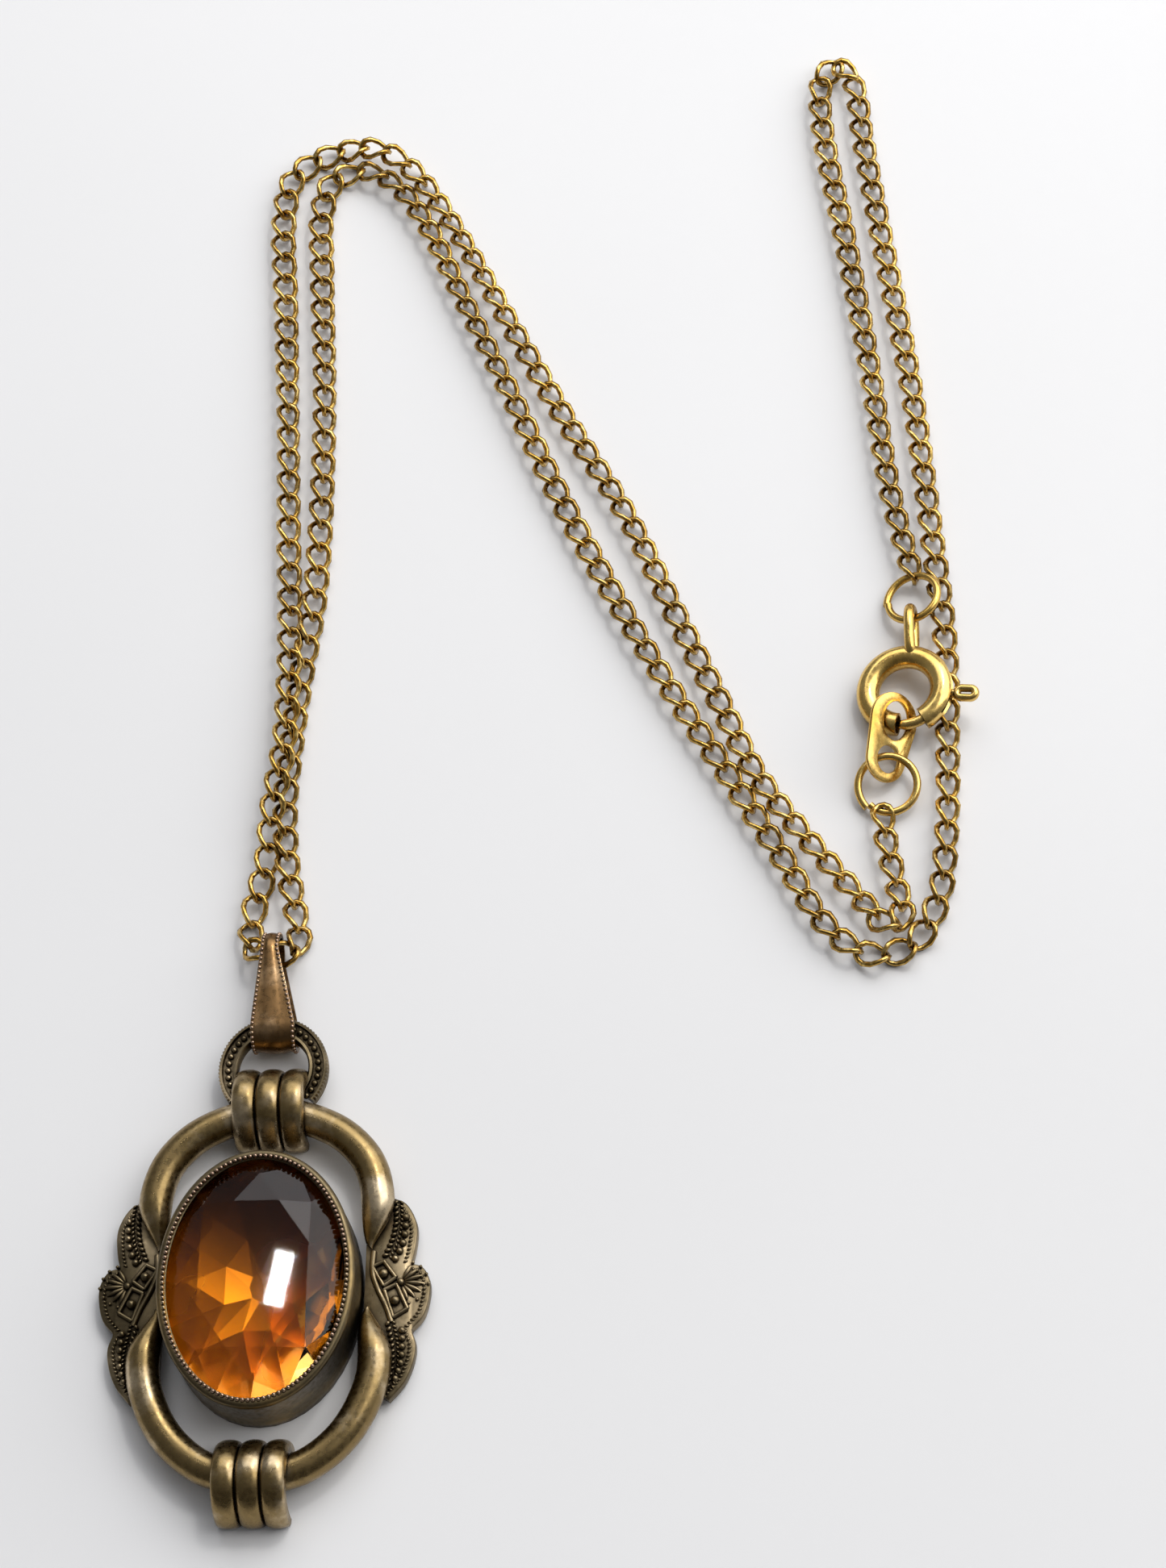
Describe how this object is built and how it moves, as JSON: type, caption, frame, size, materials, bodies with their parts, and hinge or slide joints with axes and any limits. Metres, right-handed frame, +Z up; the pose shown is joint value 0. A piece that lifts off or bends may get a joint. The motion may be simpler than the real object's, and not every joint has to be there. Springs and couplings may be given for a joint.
{
  "type": "pendant necklace",
  "caption": "Antique-style pendant necklace: oval amber glass stone in an openwork brass frame on a folded bail, with a fine curb chain and a spring ring clasp.",
  "frame": {"origin": "on the surface the necklace lies on, under the middle of the box round pendant and bail", "axes": "+Y from the pendant's lower collar towards the bail, +Z up out of the surface, +X to the wearer's-view right of the pendant"},
  "size_m": [0.0628, 0.1199, 0.0057],
  "materials": {
    "amber_glass": "clear amber glass, faceted, polished",
    "backing_foil": "thin bright foil",
    "aged_brass": "aged satin, worn bright on the high places",
    "dark_brass": "aged, dark patina in the recesses",
    "copper_brass": "warm aged satin with bright edges",
    "yellow_gold": "polished gold colour plating",
    "spring_steel": "bright drawn wire"
  },
  "bodies": {
    "chain": {"chain_clasp_side": "yellow_gold", "chain_tag_side": "yellow_gold"},
    "bail": {"bail": "copper_brass"},
    "pendant": {"stone": "amber_glass", "foil_backing": "backing_foil", "bezel_wall": "aged_brass", "bezel_back": "dark_brass", "upper_arch": "aged_brass", "lower_arch": "aged_brass", "upper_collar": "aged_brass", "lower_collar": "aged_brass", "hanging_ring": "dark_brass", "left_wing": "dark_brass", "right_wing": "dark_brass"},
    "clasp_jump_ring": {"clasp_jump_ring": "yellow_gold"},
    "spring_ring": {"spring_ring_body": "yellow_gold", "spring_ring_eye": "yellow_gold", "trigger_spring": "spring_steel"},
    "trigger": {"trigger": "yellow_gold"},
    "connector_tag": {"connector_tag": "yellow_gold"},
    "tag_jump_ring": {"tag_jump_ring": "yellow_gold"}
  },
  "joints": [
    {"name": "bail_on_chain", "type": "hinge", "parent": "chain", "child": "bail", "pos_m": [-0.0005, 0.02045, 0.00166], "axis": [-1, 0, 0], "range_deg": [0, 90]},
    {"name": "pendant_on_bail", "type": "hinge", "parent": "bail", "child": "pendant", "pos_m": [0, 0.01448, 0.00166], "axis": [-1, 0, 0], "range_deg": [0, 75]},
    {"name": "jump_ring_on_chain", "type": "hinge", "parent": "chain", "child": "clasp_jump_ring", "pos_m": [0.0465, 0.0504, 0.00105], "axis": [-1, 0, 0], "range_deg": [0, 60]},
    {"name": "spring_ring_on_jump_ring", "type": "hinge", "parent": "clasp_jump_ring", "child": "spring_ring", "pos_m": [0.0466, 0.04637, 0.00166], "axis": [-1, 0, 0], "range_deg": [0, 60]},
    {"name": "trigger_pull", "type": "hinge", "parent": "spring_ring", "child": "trigger", "pos_m": [0.0459, 0.0405, 0.00155], "axis": [-0.1736, 0, 0.9848], "range_deg": [0, 36], "stiffness_Nm_per_rad": 0.001, "springref_deg": -11.46, "deforming": ["trigger_spring"]},
    {"name": "tag_on_spring_ring", "type": "hinge", "parent": "spring_ring", "child": "connector_tag", "pos_m": [0.04628, 0.03775, 0.00162], "axis": [-0.9752, -0.139, -0.172], "range_deg": [0, 12]},
    {"name": "jump_ring_on_tag", "type": "hinge", "parent": "connector_tag", "child": "tag_jump_ring", "pos_m": [0.0445, 0.0353, 0.0013], "axis": [-1, 0, 0], "range_deg": [0, 75]}
  ]
}
